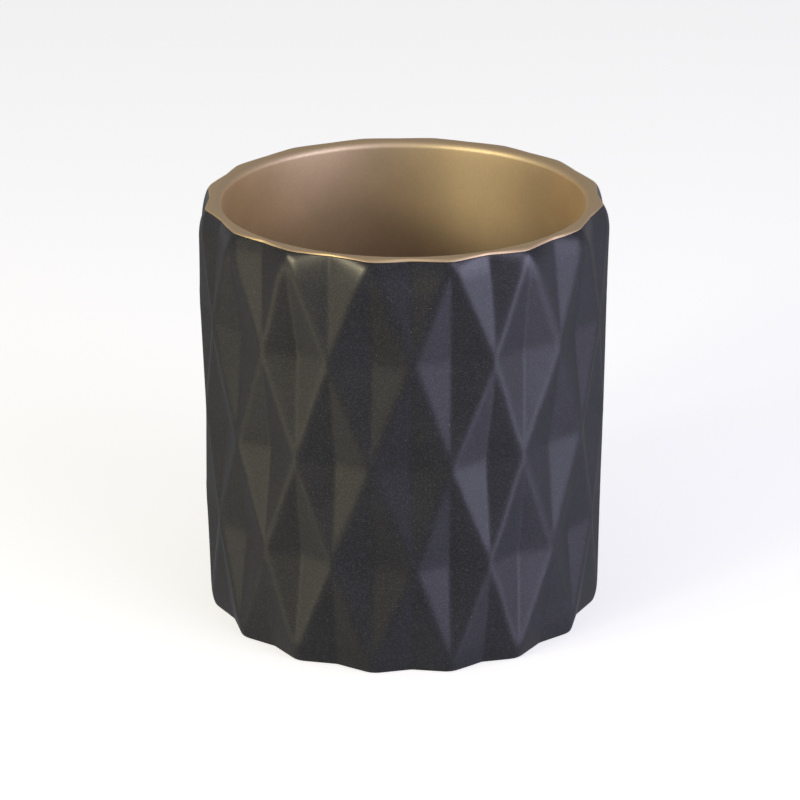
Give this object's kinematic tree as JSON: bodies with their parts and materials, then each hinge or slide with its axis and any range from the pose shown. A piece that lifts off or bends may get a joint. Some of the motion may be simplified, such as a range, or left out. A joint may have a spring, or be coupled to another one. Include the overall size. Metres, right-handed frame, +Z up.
{
  "type": "candle jar",
  "caption": "Empty round ceramic candle jar with a pressed diamond lattice on its matt black outside, and a gold-coated cavity and rim that hold poured wax and a wick.",
  "frame": {"origin": "centre of the foot, on the plane that the jar stands on", "axes": "+Z up along the jar's axis, through the open rim; -Y passes through a raised point of the lattice's second level from the foot; the lattice repeats every 22.5 degrees about Z"},
  "size_m": [0.0898, 0.0898, 0.094],
  "materials": {
    "stoneware": "matte",
    "black_glaze": "satin",
    "gold_coat": "satin",
    "recess_glaze": "satin"
  },
  "bodies": {
    "root": {"ceramic_body": "stoneware", "outer_glaze": "black_glaze", "gold_lining": "gold_coat", "foot_recess_glaze": "recess_glaze"}
  },
  "joints": []
}
